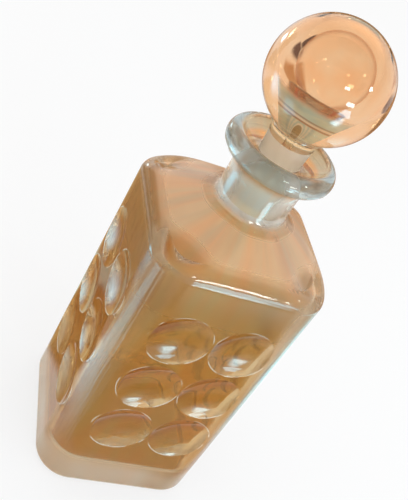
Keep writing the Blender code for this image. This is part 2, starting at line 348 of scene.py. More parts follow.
# %% The boards
SEEN_THROUGH_BOARDS = (
    ("warm_board_near", -155, 0.22, BOARD_GAP, (0.36, 0.32), FLAT, (0.60, 0.40, 0.20), SOFT_EDGE),
    ("warm_board_far", -147, 0.80, 2 * BOARD_GAP, (0.46, 0.80), FLAT, (0.12, 0.05, 0.015), SOFT_EDGE),
    ("dark_board_back", -143, 1.10, 0.26, (0.34, 0.62), UPRIGHT, (0.10, 0.045, 0.015), SOFT_EDGE),
)
MIRRORED_BOARDS = (
    ("warm_mirror_right", 135, 1.00, 3 * BOARD_GAP, (1.50, 1.70), FLAT, (0.45, 0.20, 0.06), SOFT_EDGE),
    ("sky_board_left", -117, 0.36, 4 * BOARD_GAP, (0.22, 0.42), FLAT, (2.0, 5.6, 8.0), 0.20),
    ("sky_board_right", 88, 0.175, 5 * BOARD_GAP, (0.26, 0.25), FLAT, (1.0, 1.9, 2.1), 0.20),
    ("sky_board_front", 24, 0.43, BOARD_GAP, (0.15, 0.42), FLAT, (5.5, 11.0, 15.0), 0.22),
    ("sky_board_front_far", 24, 0.97, 2 * BOARD_GAP, (0.28, 0.86), FLAT, (4.5, 9.0, 13.0), 0.05),
    ("sky_board_back", -161, 1.10, 0.16, (0.26, 0.13), UPRIGHT, (6.0, 8.0, 9.0), SOFT_EDGE),
    ("warm_mirror_back", 150, 1.90, 0.36, (1.60, 0.70), UPRIGHT, (0.45, 0.22, 0.08), 0.10),
    ("peach_board_over", 145, 0.85, 1.00, (1.80, 1.40), FLAT, (3.6, 2.1, 1.3), 0.25),
    ("warm_mirror_left", -110, 0.085, 6 * BOARD_GAP, (0.16, 0.06), FLAT, (0.40, 0.22, 0.09), 0.05),
    ("warm_mirror_front", 20, 0.155, 6 * BOARD_GAP, (0.26, 0.18), FLAT, (0.62, 0.39, 0.21), 0.12),
    ("warm_mirror_foot", 8, 0.084, 10 * BOARD_GAP, (0.15, 0.07), FLAT, (0.84, 0.66, 0.50), 0.06),
    ("green_mirror_edge", -150, 0.115, 5.5 * BOARD_GAP, (0.12, 0.10), FLAT, (0.70, 0.84, 0.68), 0.10),
    ("sky_board_low", 22, 0.32, 8 * BOARD_GAP, (0.10, 0.12), FLAT, (8.0, 14.0, 18.0), 0.14),
    ("pale_mirror_front", 19, 0.225, 9 * BOARD_GAP, (0.10, 0.13), FLAT, (1.6, 1.7, 1.3), 0.24),
    ("sky_board_corner", -75, 0.17, 7 * BOARD_GAP, (0.12, 0.23), FLAT, (1.7, 3.6, 4.8), 0.14),
)

for row in SEEN_THROUGH_BOARDS:
    add_board(*row, mirrored_only=False)
for row in MIRRORED_BOARDS:
    add_board(*row, mirrored_only=True)
print("boards", len(SEEN_THROUGH_BOARDS), "seen through the glass,", len(MIRRORED_BOARDS), "only mirrored")

# %% [markdown]
# ## Glass
# Each piece is one body of glass: polished outside, fire-finished and a little wavy inside,
# and ground matt with grit where plug and bore meet. One material does all three, by masks
# that read the place on the piece. The tint changes gently with height, and more of it sits
# on the inner wall than on the outer one. So light that stays in the thick edges comes out
# pale, and light that crosses the hollow comes out amber, as the photograph shows it.

# %% Start of a glass
GLASS_IOR = 1.5


def length_of(tree, first, second):
    """The length of a way that goes first to one side and second to the other."""
    squares = [times(tree, part, part) for part in (first, second)]
    return node_math(tree, "SQRT", node_math(tree, "ADD", *squares))


def start_glass(name, reflection):
    """A glass material, its tree and shader, and sockets: (x, y, z), distance from the axis, position."""
    material, tree, output = new_material(name)
    shader = tree.nodes.new("ShaderNodeBsdfPrincipled")
    shader.inputs["Transmission Weight"].default_value = 1.0
    shader.inputs["IOR"].default_value = GLASS_IOR
    shader.inputs["Specular Tint"].default_value = (*reflection, 1)
    tree.links.new(shader.outputs[0], output.inputs["Surface"])
    place = tree.nodes.new("ShaderNodeTexCoord").outputs["Object"]
    split = tree.nodes.new("ShaderNodeSeparateXYZ")
    tree.links.new(place, split.inputs[0])
    x, y, z = split.outputs
    return material, tree, shader, (x, y, z), length_of(tree, x, y), place


# %% [markdown]
# ## The bottle's glass
# The outside is polished, the inside a little soft, and the bore is ground matt where the
# plug sits. All of this is one body, so masks tell its places apart: by height, by distance
# from the axis, and by whether the surface faces the middle of the bottle. They come first.
# The walls lie too close together for distance alone, but the inner one faces the middle.

# %% Which way a surface faces
def facing_out(tree, place, middle_height):
    """Above 0 where the surface faces away from a point on the axis, and below 0 where it faces it."""
    geometry = tree.nodes.new("ShaderNodeNewGeometry")
    turned = times(tree, geometry.outputs["Backfacing"], 2.0)
    turned = node_math(tree, "SUBTRACT", 1.0, turned)
    away = tree.nodes.new("ShaderNodeVectorMath")
    away.operation = "SUBTRACT"
    away.inputs[1].default_value = (0, 0, middle_height)
    tree.links.new(place, away.inputs[0])
    along = tree.nodes.new("ShaderNodeVectorMath")
    along.operation = "DOT_PRODUCT"
    tree.links.new(away.outputs[0], along.inputs[0])
    tree.links.new(geometry.outputs["True Normal"], along.inputs[1])
    return times(tree, along.outputs["Value"], turned)


# %% Places on the bottle
BOTTLE_REFLECTION = (0.92, 0.84, 0.72)
MIDDLE_Z = 0.09
SIDE_FOOT_Z = 0.016
EDGE_TOP_Z = 0.158
DOME_FOOT_Z = 0.157
DOME_TOP_Z = 0.1665
CORNER_START = BODY_SIDE / 2 - BODY_CORNER_RADIUS
CORNER_BEND_START = 0.0335
CORNER_TOP_Z = 0.156
NECK_SURFACE_FOOT_Z = 0.171
LIP_FOOT_Z = 0.186
NECK_SURFACE_RADIUS = 0.0145
RIM_START_RADIUS = 0.0222
GROUND_FOOT_Z = 0.1655
GROUND_MOST_RADIUS = 0.0125
UNDERSIDE_Z = 0.0008

bottle_glass, tree, shader, axes, distance, place = start_glass("bottle_glass", BOTTLE_REFLECTION)
x, y, z = axes
faces_middle = times(tree, facing_out(tree, place, MIDDLE_Z), -1.0)
below_neck = above(tree, z, DOME_TOP_Z, -0.0005)
inner = all_of(tree, [above(tree, faces_middle, 0.0, 0.002), below_neck])
outer = opposite(tree, inner)
underside = above(tree, z, UNDERSIDE_Z, -0.0003)
cut_sides = all_of(tree, [above(tree, z, SIDE_FOOT_Z, 0.001), above(tree, z, SIDE_HEIGHT, -0.001), outer])
shoulder_edge = all_of(tree, [above(tree, z, SIDE_HEIGHT, 0.001), above(tree, z, EDGE_TOP_Z, -0.001)])
dome = all_of(tree, [above(tree, z, DOME_FOOT_Z, 0.002), below_neck, outer])
neck = all_of(tree, [
    above(tree, z, NECK_SURFACE_FOOT_Z, 0.002), above(tree, z, LIP_FOOT_Z, -0.002),
    above(tree, distance, NECK_SURFACE_RADIUS, 0.001)])
rim = all_of(tree, [above(tree, z, LIP_FOOT_Z, 0.002), above(tree, distance, RIM_START_RADIUS, 0.0012)])
ground = all_of(tree, [
    above(tree, z, GROUND_FOOT_Z, 0.0005), above(tree, z, BORE_TOP_Z, -0.0004),
    above(tree, distance, GROUND_MOST_RADIUS, -0.0006)])
print("places on the bottle", len(tree.nodes), "nodes so far")

# %% [markdown]
# The corners and the flat parts between the cuts are found from the plan of the body. The
# smaller of the two distances from the middle planes is large only near a corner, and a point
# that lies on the body's own outline hasn't been cut.

# %% Corners and uncut parts
UNCUT_SLACK = 0.0002

narrower = node_math(tree, "MINIMUM", node_math(tree, "ABSOLUTE", x), node_math(tree, "ABSOLUTE", y))
corner = all_of(tree, [
    above(tree, narrower, CORNER_BEND_START, 0.002), above(tree, z, SIDE_FOOT_Z, 0.004),
    above(tree, z, CORNER_TOP_Z, -0.003)])
beyond = []
for side in (x, y):
    past = node_math(tree, "SUBTRACT", node_math(tree, "ABSOLUTE", side), CORNER_START)
    beyond.append(node_math(tree, "MAXIMUM", past, 0.0))
from_core = length_of(tree, *beyond)
taper_here = times(tree, node_math(tree, "SUBTRACT", z, SIDE_HEIGHT), BODY_TAPER / 2 / SIDE_HEIGHT)
on_outline = node_math(tree, "SUBTRACT", from_core, taper_here)
uncut = all_of(tree, [
    above(tree, on_outline, BODY_CORNER_RADIUS - UNCUT_SLACK, 0.0001), above(tree, z, SIDE_HEIGHT, -0.001)])
print("corners start", round(CORNER_START, 4), "from the middle")

# %% [markdown]
# The rims of the cuts carry broken pale lines, a painted highlight where the edges would catch
# light, over a little frost. A pattern that repeats with the rows gives the distance to the
# nearest cut's middle, and a grain breaks the line up.

# %% Distances and grain
def apart(tree, first, second):
    """How far two values are from each other."""
    return node_math(tree, "ABSOLUTE", node_math(tree, "SUBTRACT", first, second))


def soft_noise(tree, place, scale, detail=1.0):
    """A noise pattern over a position."""
    noise = tree.nodes.new("ShaderNodeTexNoise")
    noise.inputs["Scale"].default_value = scale
    noise.inputs["Detail"].default_value = detail
    tree.links.new(place, noise.inputs["Vector"])
    return noise.outputs["Fac"]


# %% Painted highlights on the rims of the cuts
LENS_RADIUS = 0.0153
LENS_ROWS = 3
LENS_ROW_PITCH = 0.0333
LENS_COLUMN_PITCH = 0.0312
LENS_FIRST_ROW_Z = 0.0487
RIM_HIGHLIGHT_WIDTH = 0.00025
RIM_HIGHLIGHT_GRAIN = 110

across = apart(tree, narrower, LENS_COLUMN_PITCH / 2)
above_first = node_math(tree, "SUBTRACT", z, LENS_FIRST_ROW_Z - LENS_ROW_PITCH / 2)
rows_up = node_math(tree, "DIVIDE", above_first, LENS_ROW_PITCH)
in_row = node_math(tree, "SUBTRACT", node_math(tree, "FRACT", rows_up), 0.5)
from_lens = length_of(tree, across, times(tree, in_row, LENS_ROW_PITCH))
off_rim = apart(tree, from_lens, LENS_RADIUS)
# Where the painted highlight lines on the cut rims go.
lens_rim_highlight = all_of(tree, [
    above(tree, off_rim, RIM_HIGHLIGHT_WIDTH, -RIM_HIGHLIGHT_WIDTH),
    above(tree, rows_up, 0.0, 0.01), above(tree, rows_up, float(LENS_ROWS), -0.01), outer,
    above(tree, soft_noise(tree, place, RIM_HIGHLIGHT_GRAIN), 0.52, 0.06)])
print("cuts", LENS_ROWS, "rows of 2 on each side")

# %% [markdown]
# ## The bottle's tint
# The glass is tinted by height, because the foot and the neck came out paler than the sides.
# Rays run out over the shoulder from the neck, and soft warm and cool patches run down the
# sides, as the pressed glass shows them.

# %% Colours
def mix_colours(tree, factor, first, second):
    """A Mix of two colours, each a socket or a colour."""
    mix = tree.nodes.new("ShaderNodeMix")
    mix.data_type = "RGBA"
    tree.links.new(factor, mix.inputs["Factor"])
    for slot, value in (("A", first), ("B", second)):
        if isinstance(value, tuple):
            mix.inputs[slot].default_value = (*value, 1)
        else:
            tree.links.new(value, mix.inputs[slot])
    return mix.outputs["Result"]


def colour_by_stops(tree, value, stops):
    """A colour that runs smoothly through (value, colour) stops, lowest first."""
    low, high = stops[0][0], stops[-1][0]
    share = tree.nodes.new("ShaderNodeMapRange")
    share.inputs["From Min"].default_value = low
    share.inputs["From Max"].default_value = high
    tree.links.new(value, share.inputs["Value"])
    ramp = tree.nodes.new("ShaderNodeValToRGB")
    band = ramp.color_ramp
    band.interpolation = "EASE"
    band.elements.remove(band.elements[-1])
    for index, (stop, colour) in enumerate(stops):
        place = (stop - low) / (high - low)
        element = band.elements[0] if index == 0 else band.elements.new(place)
        element.position = place
        element.color = (*colour, 1)
    tree.links.new(share.outputs[0], ramp.inputs[0])
    return ramp.outputs[0]


def seen_aslant(tree, start, end):
    """0 where a surface is looked at squarely and 1 where the eye glances along it."""
    weight = tree.nodes.new("ShaderNodeLayerWeight")
    weight.inputs["Blend"].default_value = 0.5
    return above(tree, weight.outputs["Facing"], (start + end) / 2, (end - start) / 2)


# %% [markdown]
# A streak is a noise that is read by the direction round the axis and by height. So it runs
# straight out over the shoulder and straight down a side.

# %% Streaks and patches
PATCH_RANGE = (0.35, 0.65)


def streak_noise(tree, axes, distance, around, along):
    """Noise drawn out away from the axis: upright streaks on the sides, rays on the shoulder."""
    x, y, z = axes
    place = tree.nodes.new("ShaderNodeCombineXYZ")
    tree.links.new(node_math(tree, "DIVIDE", x, distance), place.inputs["X"])
    tree.links.new(node_math(tree, "DIVIDE", y, distance), place.inputs["Y"])
    tree.links.new(times(tree, z, along / around), place.inputs["Z"])
    return soft_noise(tree, place.outputs[0], around, 2.0)


def add_patches(tree, colour, pattern, warm, cool, amount):
    """Lays soft warm and cool patches over a colour, as uneven glass shows them."""
    patches = tree.nodes.new("ShaderNodeValToRGB")
    for element, position, patch in zip(patches.color_ramp.elements, PATCH_RANGE, (warm, cool)):
        element.position = position
        element.color = (*patch, 1)
    tree.links.new(pattern, patches.inputs[0])
    lay = tree.nodes.new("ShaderNodeMix")
    lay.data_type = "RGBA"
    lay.blend_type = "MULTIPLY"
    lay.inputs["Factor"].default_value = amount
    tree.links.new(colour, lay.inputs["A"])
    tree.links.new(patches.outputs[0], lay.inputs["B"])
    return lay.outputs["Result"]


# %% Tint of the bottle
OUTER_TINTS = (
    (0.0, (0.68, 0.55, 0.42)),
    (0.012, (0.68, 0.55, 0.42)),
    (0.024, (0.70, 0.48, 0.24)),
    (0.100, (0.70, 0.49, 0.26)),
    (0.148, (0.72, 0.56, 0.39)),
    (0.157, (1.0, 0.64, 0.40)),
    (0.166, (1.0, 0.64, 0.40)),
    (0.171, (1.0, 1.0, 0.96)),
    (0.184, (0.99, 0.99, 0.95)),
    (0.190, (0.72, 0.37, 0.14)),
    (0.202, (0.76, 0.39, 0.15)),
)
INNER_TINTS = (
    (0.0, (0.66, 0.40, 0.11)),
    (0.080, (0.63, 0.40, 0.12)),
    (0.130, (0.62, 0.49, 0.25)),
    (0.157, (1.0, 0.88, 0.90)),
    (0.164, (1.0, 0.88, 0.90)),
    (0.168, (0.92, 0.92, 0.87)),
)
# Deeper amber painted as shade where a side is seen aslant.
SLANT_SHADE_TINT = (0.48, 0.20, 0.04)
SLANT_TOP_Z = 0.150
RAY_COLOUR = (0.66, 0.46, 0.33)
RAY_PATTERN = {"around": 4.0, "along": 60.0}
RAY_FOOT_Z = 0.158
RAY_STRENGTH = 0.4
RIM_COLOUR = (0.42, 0.50, 0.52)
PATCH_PATTERN = {"around": 5.0, "along": 14.0}
WARM_PATCH, COOL_PATCH = (1.0, 0.88, 0.76), (0.90, 1.0, 1.0)
PATCH_STRENGTH = 0.8
GROUND_COLOUR = (0.98, 0.97, 0.93)
# The lower bore is painted bluer, as cool light, against the warm light that the body sends up into it.
LOW_GROUND_COOL_LIGHT = (0.86, 0.95, 1.0)
GROUND_CHANGE_Z = 0.184
# Pale blue-white of the painted highlight lines on the cut rims.
RIM_HIGHLIGHT_COLOUR = (0.84, 0.93, 0.95)

# Painted shade: the sides turn a deeper amber where the eye glances along them.
slant_shade = all_of(tree, [
    seen_aslant(tree, 0.42, 0.60), above(tree, z, SLANT_TOP_Z, -0.004), above(tree, z, SIDE_FOOT_Z, 0.004)])
outer_tint = mix_colours(tree, slant_shade, colour_by_stops(tree, z, OUTER_TINTS), SLANT_SHADE_TINT)
tint = mix_colours(tree, inner, outer_tint, colour_by_stops(tree, z, INNER_TINTS))
rays = all_of(tree, [
    above(tree, streak_noise(tree, axes, distance, **RAY_PATTERN), 0.52, 0.14),
    above(tree, z, RAY_FOOT_Z, 0.004), below_neck, outer])
tint = mix_colours(tree, times(tree, rays, RAY_STRENGTH), tint, RAY_COLOUR)
tint = mix_colours(tree, rim, tint, RIM_COLOUR)
patches = streak_noise(tree, axes, distance, **PATCH_PATTERN)
tint = add_patches(tree, tint, patches, WARM_PATCH, COOL_PATCH, PATCH_STRENGTH)
# Painted cool light: the ground bore turns bluer lower down.
ground_tint_with_cool_light = mix_colours(tree, above(tree, z, GROUND_CHANGE_Z, -0.010), GROUND_COLOUR, LOW_GROUND_COOL_LIGHT)
tint = mix_colours(tree, ground, tint, ground_tint_with_cool_light)
# Painted highlight: pale lines on the rims of the cuts.
tint = mix_colours(tree, lens_rim_highlight, tint, RIM_HIGHLIGHT_COLOUR)
tree.links.new(tint, shader.inputs["Base Color"])
print("tints", len(OUTER_TINTS), "outside,", len(INNER_TINTS), "inside")

# %% [markdown]
# ## The bottle's surface
# Pressed glass is seldom quite clear. The shoulder has a fine bloom, so some of its light is
# scattered. The corners are satin with fine lines drawn down them, the neck is slightly
# cloudy, and the shoulder's edge and the inner wall are a little wavy.

# %% Surface of the bottle
# How much the cut rims are frosted under their painted highlight lines.
RIM_HIGHLIGHT_FROST = 0.35
SHOULDER_BLOOM = 0.34
GROUND_ROUGHNESS = 0.5
UNDERSIDE_ROUGHNESS = 0.3
SATIN_ROUGHNESS = 0.08
LENS_ROUGHNESS = 0.03
CORNER_ROUGHNESS = 0.11
NECK_ROUGHNESS = 0.16
SHOULDER_ROUGHNESS = 0.28
INNER_ROUGHNESS = 0.06
HIGH_INNER_ROUGHNESS = 0.45
HIGH_INNER_Z = 0.120

# The cut rims are frosted under their painted highlight lines, and the shoulder has a bloom.
rim_highlight_frost_and_bloom = node_math(tree, "ADD", times(tree, lens_rim_highlight, RIM_HIGHLIGHT_FROST), times(tree, dome, SHOULDER_BLOOM))
tree.links.new(opposite(tree, rim_highlight_frost_and_bloom), shader.inputs["Transmission Weight"])
high_inner = times(tree, above(tree, z, HIGH_INNER_Z, 0.04), HIGH_INNER_ROUGHNESS)
roughness = times(tree, inner, node_math(tree, "MAXIMUM", high_inner, INNER_ROUGHNESS))
for mask, amount in (
    (ground, GROUND_ROUGHNESS),
    (underside, UNDERSIDE_ROUGHNESS),
    (uncut, SATIN_ROUGHNESS),
    (cut_sides, LENS_ROUGHNESS),
    (corner, CORNER_ROUGHNESS),
    (neck, NECK_ROUGHNESS),
    (shoulder_edge, SATIN_ROUGHNESS),
    (dome, SHOULDER_ROUGHNESS),
):
    roughness = node_math(tree, "MAXIMUM", roughness, times(tree, mask, amount))
tree.links.new(roughness, shader.inputs["Roughness"])
print("roughest where ground", GROUND_ROUGHNESS)

# %% [markdown]
# The waviness is a bump. It bends the light as an uneven surface does and leaves the outline
# alone. The lines down the corners go into the same bump, as a shader has one normal.

# %% Waves
def add_wave(tree, shader, pattern, height):
    """A slow waviness of the surface."""
    bump = tree.nodes.new("ShaderNodeBump")
    bump.inputs["Strength"].default_value = 1.0
    bump.inputs["Distance"].default_value = height
    tree.links.new(pattern, bump.inputs["Height"])
    tree.links.new(bump.outputs[0], shader.inputs["Normal"])


# %% Waviness of the bottle
WAVE_SCALE = 60
WAVE_HEIGHT = 0.0005
OUTER_WAVE, INNER_WAVE, EDGE_WAVE = 0.25, 0.75, 0.8
CORNER_LINES = {"around": 30.0, "along": 25.0}
CORNER_LINE_HEIGHT = 0.55

wall_wave = node_math(tree, "ADD", times(tree, inner, INNER_WAVE), OUTER_WAVE)
wave_share = node_math(tree, "MAXIMUM", times(tree, shoulder_edge, EDGE_WAVE), wall_wave)
wave = times(tree, soft_noise(tree, place, WAVE_SCALE, 2.0), wave_share)
lines = all_of(tree, [corner, streak_noise(tree, axes, distance, **CORNER_LINES)])
lines = times(tree, lines, CORNER_LINE_HEIGHT)
add_wave(tree, shader, node_math(tree, "ADD", wave, lines), WAVE_HEIGHT)
print("bottle glass", len(tree.nodes), "nodes")

# %% [markdown]
# ## The stopper's glass
# The ball is hollow, and painted shade darkens its thick wall towards the edge. Below the bubble the
# funnel has a grey haze, which shows through the ball as a soft triangle. The plug is ground
# matt, and the collar above it is clear. Again the places come first.

# %% Places on the stopper
STOPPER_REFLECTION = (0.92, 0.88, 0.82)
HOLLOW_MOST_RADIUS = 0.0255
FUNNEL_HAZE_TOP = -0.0065
CORE_RADIUS = 0.008
CHANNEL_MOST_RADIUS = 0.0026

stopper_glass, tree, shader, axes, distance, place = start_glass("stopper_glass", STOPPER_REFLECTION)
x, y, z = axes
rise = node_math(tree, "SUBTRACT", z, BALL_CENTRE_Z)
from_centre = length_of(tree, distance, rise)
hollow = above(tree, from_centre, HOLLOW_MOST_RADIUS, -0.0005)
from_glass = tree.nodes.new("ShaderNodeNewGeometry").outputs["Backfacing"]
haze = all_of(tree, [above(tree, rise, FUNNEL_HAZE_TOP, -0.0015), hollow, from_glass])
collar = all_of(tree, [above(tree, z, JOIN_Z, -0.0004), above(tree, distance, CORE_RADIUS, 0.001)])
low_core = all_of(tree, [above(tree, z, JOIN_Z, -0.001), above(tree, distance, CORE_RADIUS, -0.001)])
ground = all_of(tree, [
    above(tree, z, PLUG_TOP_Z - 0.0002, -0.0004), above(tree, distance, CHANNEL_MOST_RADIUS, 0.0004)])
print("places on the stopper", len(tree.nodes), "nodes so far")

# %% [markdown]
# The edge of the ball and of the bubble is darkened with painted shade, where the eye glances
# along the glass and thick glass would lose light. A volume could absorb the light, but a tint
# by glancing angle is easier to set.

# %% Tint of the ball and the bubble
BALL_TINT = (0.90, 0.56, 0.32)
BALL_TOP_TINT = (0.84, 0.47, 0.23)
BALL_TOP_RISE = 0.012
# Painted shade at the edges of the ball and the bubble.
BALL_EDGE_SHADE = (0.14, 0.05, 0.01)
BUBBLE_TINT = (1.0, 1.0, 1.0)
BUBBLE_EDGE_SHADE = (0.42, 0.20, 0.08)
BALL_PATCH_SCALE = 60
WARM_BALL_PATCH, COOL_BALL_PATCH = (1.0, 0.80, 0.60), (0.97, 1.0, 1.0)
BALL_PATCH_STRENGTH = 0.7

shell = mix_colours(tree, above(tree, rise, BALL_TOP_RISE, 0.010), BALL_TINT, BALL_TOP_TINT)
# Painted shade: dark edges of the ball and the bubble where they are seen aslant.
shell = mix_colours(tree, seen_aslant(tree, 0.70, 0.94), shell, BALL_EDGE_SHADE)
bubble = mix_colours(tree, seen_aslant(tree, 0.45, 0.80), BUBBLE_TINT, BUBBLE_EDGE_SHADE)
tint = mix_colours(tree, hollow, shell, bubble)
patches = soft_noise(tree, place, BALL_PATCH_SCALE, 2.0)
tint = add_patches(tree, tint, patches, WARM_BALL_PATCH, COOL_BALL_PATCH, BALL_PATCH_STRENGTH)
print("ball tinted up to", round(BALL_CENTRE_Z + BALL_RADIUS, 4))

# %% [markdown]
# ## The funnel
# The haze on the funnel has fine flow lines, and three thin rings from the blowing. Lower
# down, a dark tongue with pale arcs round it is painted on the side towards the camera: a
# painted image of the channel as the ball refracts it.
# The arcs are a colour by stops over a made-up distance: how far round the funnel a point is
# from that side, plus how far up it is.

# %% Tint of the funnel
FUNNEL_TINT = (0.74, 1.0, 1.0)
FUNNEL_STREAK_TINT = (0.50, 0.80, 0.92)
FLOW_LINES = {"around": 1.2, "along": 420.0}
FUNNEL_RINGS_SEEN = (
    (-0.0112, (0.40, 0.40, 0.36)),
    (-0.0119, (1.0, 1.0, 1.0)),
    (-0.0126, (0.45, 0.26, 0.14)),
)
FUNNEL_RING_WIDTH = 0.0003
TONGUE_SIDE = (-0.49, -0.87)
TONGUE_FOOT = -0.0185
TONGUE_TOP = -0.0128
TONGUE_CLOSING = 0.052
TONGUE_ARCS = (
    (0.030, (0.46, 0.42, 0.28)),
    (0.036, (0.90, 1.0, 1.0)),
    (0.052, (0.56, 0.78, 0.86)),
    (0.070, (0.88, 1.0, 1.0)),
    (0.100, (0.60, 0.82, 0.90)),
    (0.125, (0.86, 1.0, 1.0)),
    (0.180, (0.58, 0.80, 0.88)),
    (0.300, (0.76, 1.0, 1.0)),
)

flow_lines = above(tree, streak_noise(tree, axes, distance, **FLOW_LINES), 0.5, 0.25)
funnel = mix_colours(tree, flow_lines, FUNNEL_STREAK_TINT, FUNNEL_TINT)
# The tongue and its arcs: a painted image of the channel, seen through the ball, on the side towards the
# camera.
towards = node_math(tree, "ADD", times(tree, x, TONGUE_SIDE[0]), times(tree, y, TONGUE_SIDE[1]))
turned_away = node_math(tree, "SUBTRACT", 1.0, node_math(tree, "DIVIDE", towards, distance))
up = node_math(tree, "DIVIDE", node_math(tree, "SUBTRACT", rise, TONGUE_FOOT), TONGUE_TOP - TONGUE_FOOT)
up = node_math(tree, "MAXIMUM", up, 0.0)
closing = times(tree, times(tree, up, up), TONGUE_CLOSING)
arcs = colour_by_stops(tree, node_math(tree, "ADD", turned_away, closing), TONGUE_ARCS)
funnel = mix_colours(tree, above(tree, rise, TONGUE_TOP, -0.0004), funnel, arcs)
for ring_rise, ring_colour in FUNNEL_RINGS_SEEN:
    off_ring = apart(tree, rise, ring_rise)
    funnel = mix_colours(tree, above(tree, off_ring, FUNNEL_RING_WIDTH, -0.0002), funnel, ring_colour)
tint = mix_colours(tree, haze, tint, funnel)
print("funnel", len(FUNNEL_RINGS_SEEN), "rings and", len(TONGUE_ARCS), "stops of the arcs")

# %% [markdown]
# The plug was ground into the bore with grit, so it is rough and scatters a little light.
# The collar stays clear, and the ball is only very slightly wavy.

# %% Collar, plug and surface of the stopper
COLLAR_TINT = (0.88, 0.62, 0.36)
PLUG_COLOUR = (1.0, 0.92, 0.80)
FUNNEL_HAZE = 0.88
PLUG_BLOOM = 0.3
BALL_WAVE_SCALE = 90
BALL_WAVE_HEIGHT = 0.00006

for mask, colour in ((collar, COLLAR_TINT), (low_core, GROUND_COLOUR), (ground, PLUG_COLOUR)):
    tint = mix_colours(tree, mask, tint, colour)
tree.links.new(tint, shader.inputs["Base Color"])
bloom = node_math(tree, "ADD", times(tree, haze, FUNNEL_HAZE), times(tree, ground, PLUG_BLOOM))
tree.links.new(opposite(tree, bloom), shader.inputs["Transmission Weight"])
tree.links.new(times(tree, ground, GROUND_ROUGHNESS), shader.inputs["Roughness"])
add_wave(tree, shader, soft_noise(tree, place, BALL_WAVE_SCALE), BALL_WAVE_HEIGHT)
print("stopper glass", len(tree.nodes), "nodes")

# %% [markdown]
# ## Modelling helpers
# A turned or lofted shape can be pulled up ring by ring from one filled circle: extrude the
# face, move it, and scale it or push its corner points onto the next outline. The face that
# is carried along closes the shape at its end, so the body is always one closed skin.

# %% Helpers for pulling a shape up ring by ring
TURN = 2 * math.pi
SORT_OFFSET = 0.0001


def start_circle(name, points, radius, z):
    """A filled circle at a height, left in edit mode with its face selected."""
    bpy.ops.object.select_all(action="DESELECT")
    bpy.ops.mesh.primitive_circle_add(vertices=points, radius=radius, fill_type="NGON", location=(0, 0, 0))
    made = bpy.context.object
    made.name = name
    made.data.name = name
    bpy.ops.object.mode_set(mode="EDIT")
    bpy.ops.mesh.select_all(action="SELECT")
    bpy.ops.transform.translate(value=(0, 0, z))
    return made


def pull_round(from_ring, to_ring):
    """Extrudes the selected round face from one (radius, height) to the next."""
    (r0, z0), (r1, z1) = from_ring, to_ring
    bpy.ops.mesh.extrude_region_move(TRANSFORM_OT_translate={"value": (0, 0, z1 - z0)})
    share = r1 / r0
    bpy.ops.transform.resize(value=(share, share, 1), center_override=(0, 0, z1))


def pull_rings(profile):
    """Extrudes the selected face along a list of (radius, height) rings, the first of which it is on."""
    for here, after in zip(profile[:-1], profile[1:]):
        pull_round(here, after)


def close_to_point():
    """Closes the shape by drawing the selected face together at its middle."""
    bpy.ops.mesh.merge(type="CENTER")


def finish_piece(piece, angle):
    """Back to object mode, faces outwards, smooth but for edges sharper than angle."""
    bpy.ops.mesh.select_all(action="SELECT")
    bpy.ops.mesh.normals_make_consistent(inside=False)
    bpy.ops.object.mode_set(mode="OBJECT")
    bpy.ops.object.shade_smooth_by_angle(angle=angle)


def place_ring(piece, points):
    """Moves the selected ring's corners, in order round Z, onto the given points."""
    mesh = bmesh.from_edit_mesh(piece.data)
    ring = [v for v in mesh.verts if v.select]
    ring.sort(key=lambda v: (math.atan2(v.co.y, v.co.x) + SORT_OFFSET) % TURN)
    for vertex, point in zip(ring, points):
        vertex.co = point
    bmesh.update_edit_mesh(piece.data)


# %% [markdown]
# ## The body's outline
# Seen from above, the body is a square with wide round corners, and the neck is a circle.
# Each section lies between the two: every point has a place on the square and one on the
# circle, and a share says how far it has gone from one to the other. Over the shoulder the
# corners also sink a little, as blown glass does.

# %% Sections of the body
CORNER_STEPS = 24
FLAT_STEPS = 13
QUARTER_STEPS = CORNER_STEPS + FLAT_STEPS
RING_POINTS = 4 * QUARTER_STEPS
CORNER_TURN_SHARE = 0.8


def half_side(z):
    """Half the width of the body across its flats at a height."""
    return (BODY_SIDE - BODY_TAPER * (1 - z / SIDE_HEIGHT)) / 2


def body_section(half, corner, round_share, z, droop):
    """The points of one section, in order round Z."""
    points = []
    middle = half - corner
    flat_turn = math.pi / 4 * (1 - CORNER_TURN_SHARE)
    for i in range(RING_POINTS):
        quarter, u = divmod(i + 0.5, QUARTER_STEPS)
        if u < FLAT_STEPS / 2:
            share = u / (FLAT_STEPS / 2)
            x, y, angle = half, middle * share, flat_turn * share
        elif u <= FLAT_STEPS / 2 + CORNER_STEPS:
            share = (u - FLAT_STEPS / 2) / CORNER_STEPS
            arc = math.pi / 2 * share
            x, y = middle + corner * math.cos(arc), middle + corner * math.sin(arc)
            angle = flat_turn + (math.pi / 2 - 2 * flat_turn) * share
        else:
            share = (QUARTER_STEPS - u) / (FLAT_STEPS / 2)
            x, y, angle = middle * share, half, math.pi / 2 - flat_turn * share
        sink = droop * math.sin(2 * angle) ** 4
        x += (half * math.cos(angle) - x) * round_share
        y += (half * math.sin(angle) - y) * round_share
        turned = Matrix.Rotation(quarter * math.pi / 2, 3, "Z") @ Vector((x, y, z - sink))
        points.append(turned)
    return points


# %% Outline of the shoulder
EDGE_RINGS = 14
SLOPE_RINGS = 26


